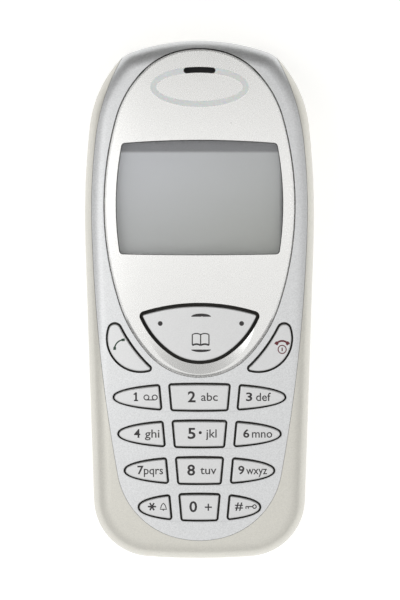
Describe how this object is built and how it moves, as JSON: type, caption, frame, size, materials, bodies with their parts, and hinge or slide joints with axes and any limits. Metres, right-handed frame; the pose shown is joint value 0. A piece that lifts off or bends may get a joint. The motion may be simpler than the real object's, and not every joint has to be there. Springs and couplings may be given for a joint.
{
  "type": "mobile phone",
  "caption": "Compact candybar mobile phone with an oval bezel, monochrome display, rocker navigation key, call keys, number keys and a slide-off battery cover.",
  "frame": {"origin": "on the resting face, under the middle of the body's box", "axes": "+X across the phone, +Y along it towards the earpiece, +Z out of the face with the keys"},
  "size_m": [0.0442, 0.1, 0.0209],
  "materials": {
    "silver_paint": "satin silver lacquer on moulded plastic",
    "pearl_paint": "pearl champagne lacquer on moulded plastic",
    "bright_paint": "bright silver lacquer on moulded plastic",
    "key_silver": "silver lacquered key caps",
    "clear_lens": "hard coated clear window",
    "display_face": "grey-green liquid crystal glass",
    "white_plastic": "translucent white plastic",
    "white_plastic_inner": "white moulding",
    "clear_acrylic": "clear acrylic",
    "lamp": "chip lamps",
    "black_gauze": "woven acoustic gauze",
    "black_foam": "foam",
    "black_rubber": "soft rubber",
    "white_silicone": "silicone rubber",
    "green_board": "solder mask on glass laminate",
    "steel_dome": "spring steel",
    "tin_plate": "tinned steel sheet",
    "tungsten": "sintered heavy metal",
    "black_resin": "moulded resin",
    "black_plastic": "black moulding",
    "gold_contact": "gold plated springs",
    "copper_plate": "plated aerial sheet",
    "card_plastic": "plain white card",
    "battery_case": "grey sleeve",
    "steel_screw": "blackened steel"
  },
  "bodies": {
    "body": {"front_cover": "silver_paint", "back_housing": "pearl_paint", "display_bezel": "bright_paint", "display_lens": "clear_lens", "earpiece_ring": "white_plastic", "earpiece_gauze": "black_gauze", "display_gasket": "black_foam", "display_glass": "display_face", "display_frame": "white_plastic_inner", "light_guide": "clear_acrylic", "backlight_lamps": "lamp", "display_contact_strip": "black_rubber", "main_board": "green_board", "dome_sheet": "steel_dome", "key_mat": "white_silicone", "key_lamps": "lamp", "radio_shield": "tin_plate", "logic_shield": "tin_plate", "chips": "black_resin", "backup_cell": "steel_dome", "aerial_test_socket": "gold_contact", "earpiece_speaker": "black_plastic", "microphone": "tin_plate", "microphone_boot": "black_rubber", "ringer": "black_plastic", "vibration_motor": "steel_dome", "card_reader": "black_plastic", "sim_card": "card_plastic", "battery": "battery_case", "battery_contact_block": "black_plastic", "battery_contacts": "gold_contact", "aerial_carrier": "black_plastic", "aerial_plate": "copper_plate", "aerial_contacts": "gold_contact", "bottom_connector": "black_plastic", "connector_contacts": "gold_contact", "housing_screws": "steel_screw"},
    "key_1": {"key_1": "key_silver"},
    "key_2": {"key_2": "key_silver"},
    "key_3": {"key_3": "key_silver"},
    "key_4": {"key_4": "key_silver"},
    "key_5": {"key_5": "key_silver"},
    "key_6": {"key_6": "key_silver"},
    "key_7": {"key_7": "key_silver"},
    "key_8": {"key_8": "key_silver"},
    "key_9": {"key_9": "key_silver"},
    "key_star": {"key_star": "key_silver"},
    "key_0": {"key_0": "key_silver"},
    "key_hash": {"key_hash": "key_silver"},
    "call_key": {"call_key": "key_silver"},
    "end_key": {"end_key": "key_silver"},
    "nav_key": {"nav_key": "key_silver"},
    "nav_nub": {"nav_nub": "white_silicone"},
    "battery_cover": {"battery_cover": "pearl_paint"},
    "vibration_weight": {"vibration_weight": "tungsten"}
  },
  "joints": [
    {"name": "key_1_press", "type": "slide", "parent": "body", "child": "key_1", "axis": [0, 0, -1], "range_m": [0, 0.00035], "stiffness_N_per_m": 1000},
    {"name": "key_2_press", "type": "slide", "parent": "body", "child": "key_2", "axis": [0, 0, -1], "range_m": [0, 0.00035], "stiffness_N_per_m": 1000},
    {"name": "key_3_press", "type": "slide", "parent": "body", "child": "key_3", "axis": [0, 0, -1], "range_m": [0, 0.00035], "stiffness_N_per_m": 1000},
    {"name": "key_4_press", "type": "slide", "parent": "body", "child": "key_4", "axis": [0, 0, -1], "range_m": [0, 0.00035], "stiffness_N_per_m": 1000},
    {"name": "key_5_press", "type": "slide", "parent": "body", "child": "key_5", "axis": [0, 0, -1], "range_m": [0, 0.00035], "stiffness_N_per_m": 1000},
    {"name": "key_6_press", "type": "slide", "parent": "body", "child": "key_6", "axis": [0, 0, -1], "range_m": [0, 0.00035], "stiffness_N_per_m": 1000},
    {"name": "key_7_press", "type": "slide", "parent": "body", "child": "key_7", "axis": [0, 0, -1], "range_m": [0, 0.00035], "stiffness_N_per_m": 1000},
    {"name": "key_8_press", "type": "slide", "parent": "body", "child": "key_8", "axis": [0, 0, -1], "range_m": [0, 0.00035], "stiffness_N_per_m": 1000},
    {"name": "key_9_press", "type": "slide", "parent": "body", "child": "key_9", "axis": [0, 0, -1], "range_m": [0, 0.00035], "stiffness_N_per_m": 1000},
    {"name": "key_star_press", "type": "slide", "parent": "body", "child": "key_star", "axis": [0, 0, -1], "range_m": [0, 0.00035], "stiffness_N_per_m": 1000},
    {"name": "key_0_press", "type": "slide", "parent": "body", "child": "key_0", "axis": [0, 0, -1], "range_m": [0, 0.00035], "stiffness_N_per_m": 1000},
    {"name": "key_hash_press", "type": "slide", "parent": "body", "child": "key_hash", "axis": [0, 0, -1], "range_m": [0, 0.00035], "stiffness_N_per_m": 1000},
    {"name": "call_key_press", "type": "slide", "parent": "body", "child": "call_key", "axis": [0, 0, -1], "range_m": [0, 0.00035], "stiffness_N_per_m": 1000},
    {"name": "end_key_press", "type": "slide", "parent": "body", "child": "end_key", "axis": [0, 0, -1], "range_m": [0, 0.00035], "stiffness_N_per_m": 1000},
    {"name": "nav_up_down", "type": "hinge", "parent": "body", "child": "nav_nub", "pos_m": [0, -0.0063, 0.0162], "axis": [1, 0, 0], "range_deg": [-2, 2], "stiffness_Nm_per_rad": 0.5},
    {"name": "nav_left_right", "type": "hinge", "parent": "nav_nub", "child": "nav_key", "pos_m": [0, -0.0063, 0.0162], "axis": [0, 1, 0], "range_deg": [-1.5, 1.5], "stiffness_Nm_per_rad": 0.5},
    {"name": "battery_cover_slide", "type": "slide", "parent": "body", "child": "battery_cover", "axis": [0, -1, 0], "range_m": [0, 0.008]},
    {"name": "vibration_spin", "type": "hinge", "parent": "body", "child": "vibration_weight", "pos_m": [-0.013, 0.033, 0.0109], "axis": [0, 1, 0], "continuous": true}
  ]
}
